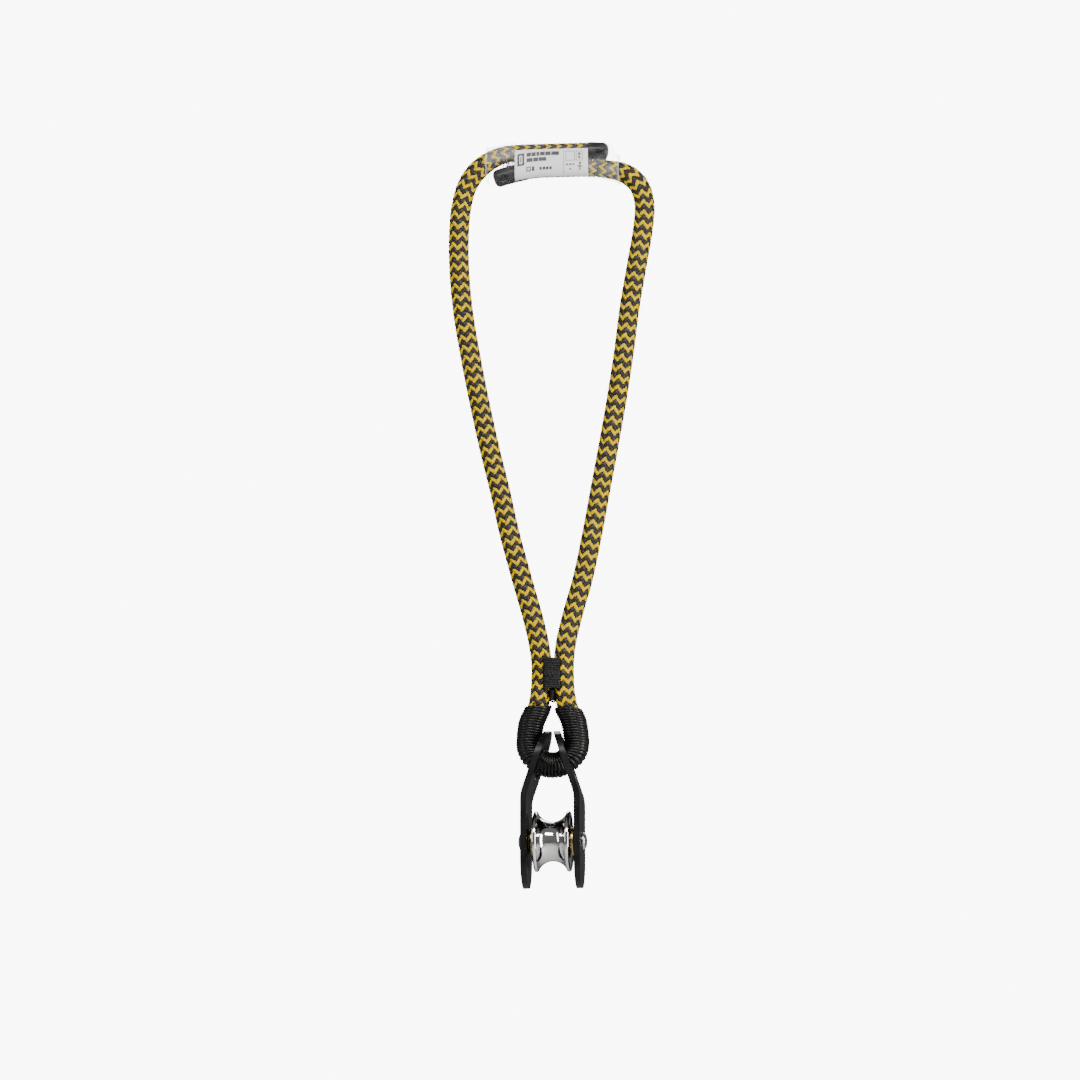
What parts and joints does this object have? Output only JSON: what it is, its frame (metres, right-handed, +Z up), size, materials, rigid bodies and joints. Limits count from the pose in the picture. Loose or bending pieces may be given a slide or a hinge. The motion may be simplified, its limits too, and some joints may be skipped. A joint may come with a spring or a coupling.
{
  "type": "rope pulley",
  "caption": "Small rope pulley with bent cheek plates hanging on the whipped eye of a sewn rope sling loop.",
  "frame": {"origin": "underside of the splice at the top of the sling loop, where the anchor bears", "axes": "+Z up along the hanging sling, X across the loop and along the sheave axle, Y through the loop's thickness"},
  "size_m": [0.1259, 0.036, 0.457],
  "materials": {
    "rope_cover": "braided polyester, yellow and black",
    "rope_core": "white core yarns",
    "rope_end": "dipped black",
    "thread": "black sewing thread",
    "film": "clear shrink film",
    "label": "printed label tape",
    "serving": "wound black cord",
    "cheek": "satin black",
    "steel": "bright steel",
    "washer": "blackened",
    "sheave": "polished",
    "bronze": "turned bronze"
  },
  "bodies": {
    "sling": {"rope_cover": "rope_cover", "rope_core": "rope_core", "rope_end_upper": "rope_end", "rope_end_lower": "rope_end", "splice_stitch_front": "thread", "splice_stitch_back": "thread", "splice_label": "label", "splice_sleeve": "film", "throat_stitch_front": "thread", "throat_stitch_back": "thread", "eye_serving": "serving"},
    "pulley": {"cheek_left": "cheek", "cheek_right": "cheek", "axle_sleeve": "steel", "axle_screw_left": "steel", "axle_screw_right": "steel", "washer_left": "washer", "washer_right": "washer"},
    "wheel": {"sheave": "sheave", "bush_left": "bronze", "bush_right": "bronze"}
  },
  "joints": [
    {"name": "pulley_swing", "type": "hinge", "parent": "sling", "child": "pulley", "pos_m": [0, 0, -0.3574], "axis": [1, 0, 0], "range_deg": [-30, 30]},
    {"name": "sheave_spin", "type": "hinge", "parent": "pulley", "child": "wheel", "pos_m": [0, 0, -0.4065], "axis": [1, 0, 0], "continuous": true}
  ]
}
